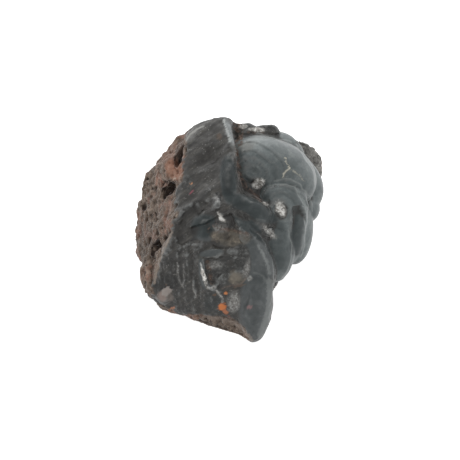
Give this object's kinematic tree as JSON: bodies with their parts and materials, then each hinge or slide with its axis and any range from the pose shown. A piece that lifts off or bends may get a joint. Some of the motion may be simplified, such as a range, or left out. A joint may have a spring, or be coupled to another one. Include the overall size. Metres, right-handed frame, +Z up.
{
  "type": "hematite specimen",
  "caption": "Hand specimen of kidney ore: blue-grey rounded lobes of hematite grown on a broken, pitted brown crust, resting on a flat underside.",
  "frame": {"origin": "middle of the outer box at the ground, on the flat underside", "axes": "+Z up from the ground, -Y towards the side that the stone is looked at from, +X to the right in that view, where the lobes are"},
  "size_m": [0.0584, 0.0596, 0.0429],
  "materials": {
    "hematite": "satin blue-grey lobes with glossy broken facets, and a dull brown pitted crust on one side"
  },
  "bodies": {
    "root": {"hematite_specimen": "hematite"}
  },
  "joints": []
}
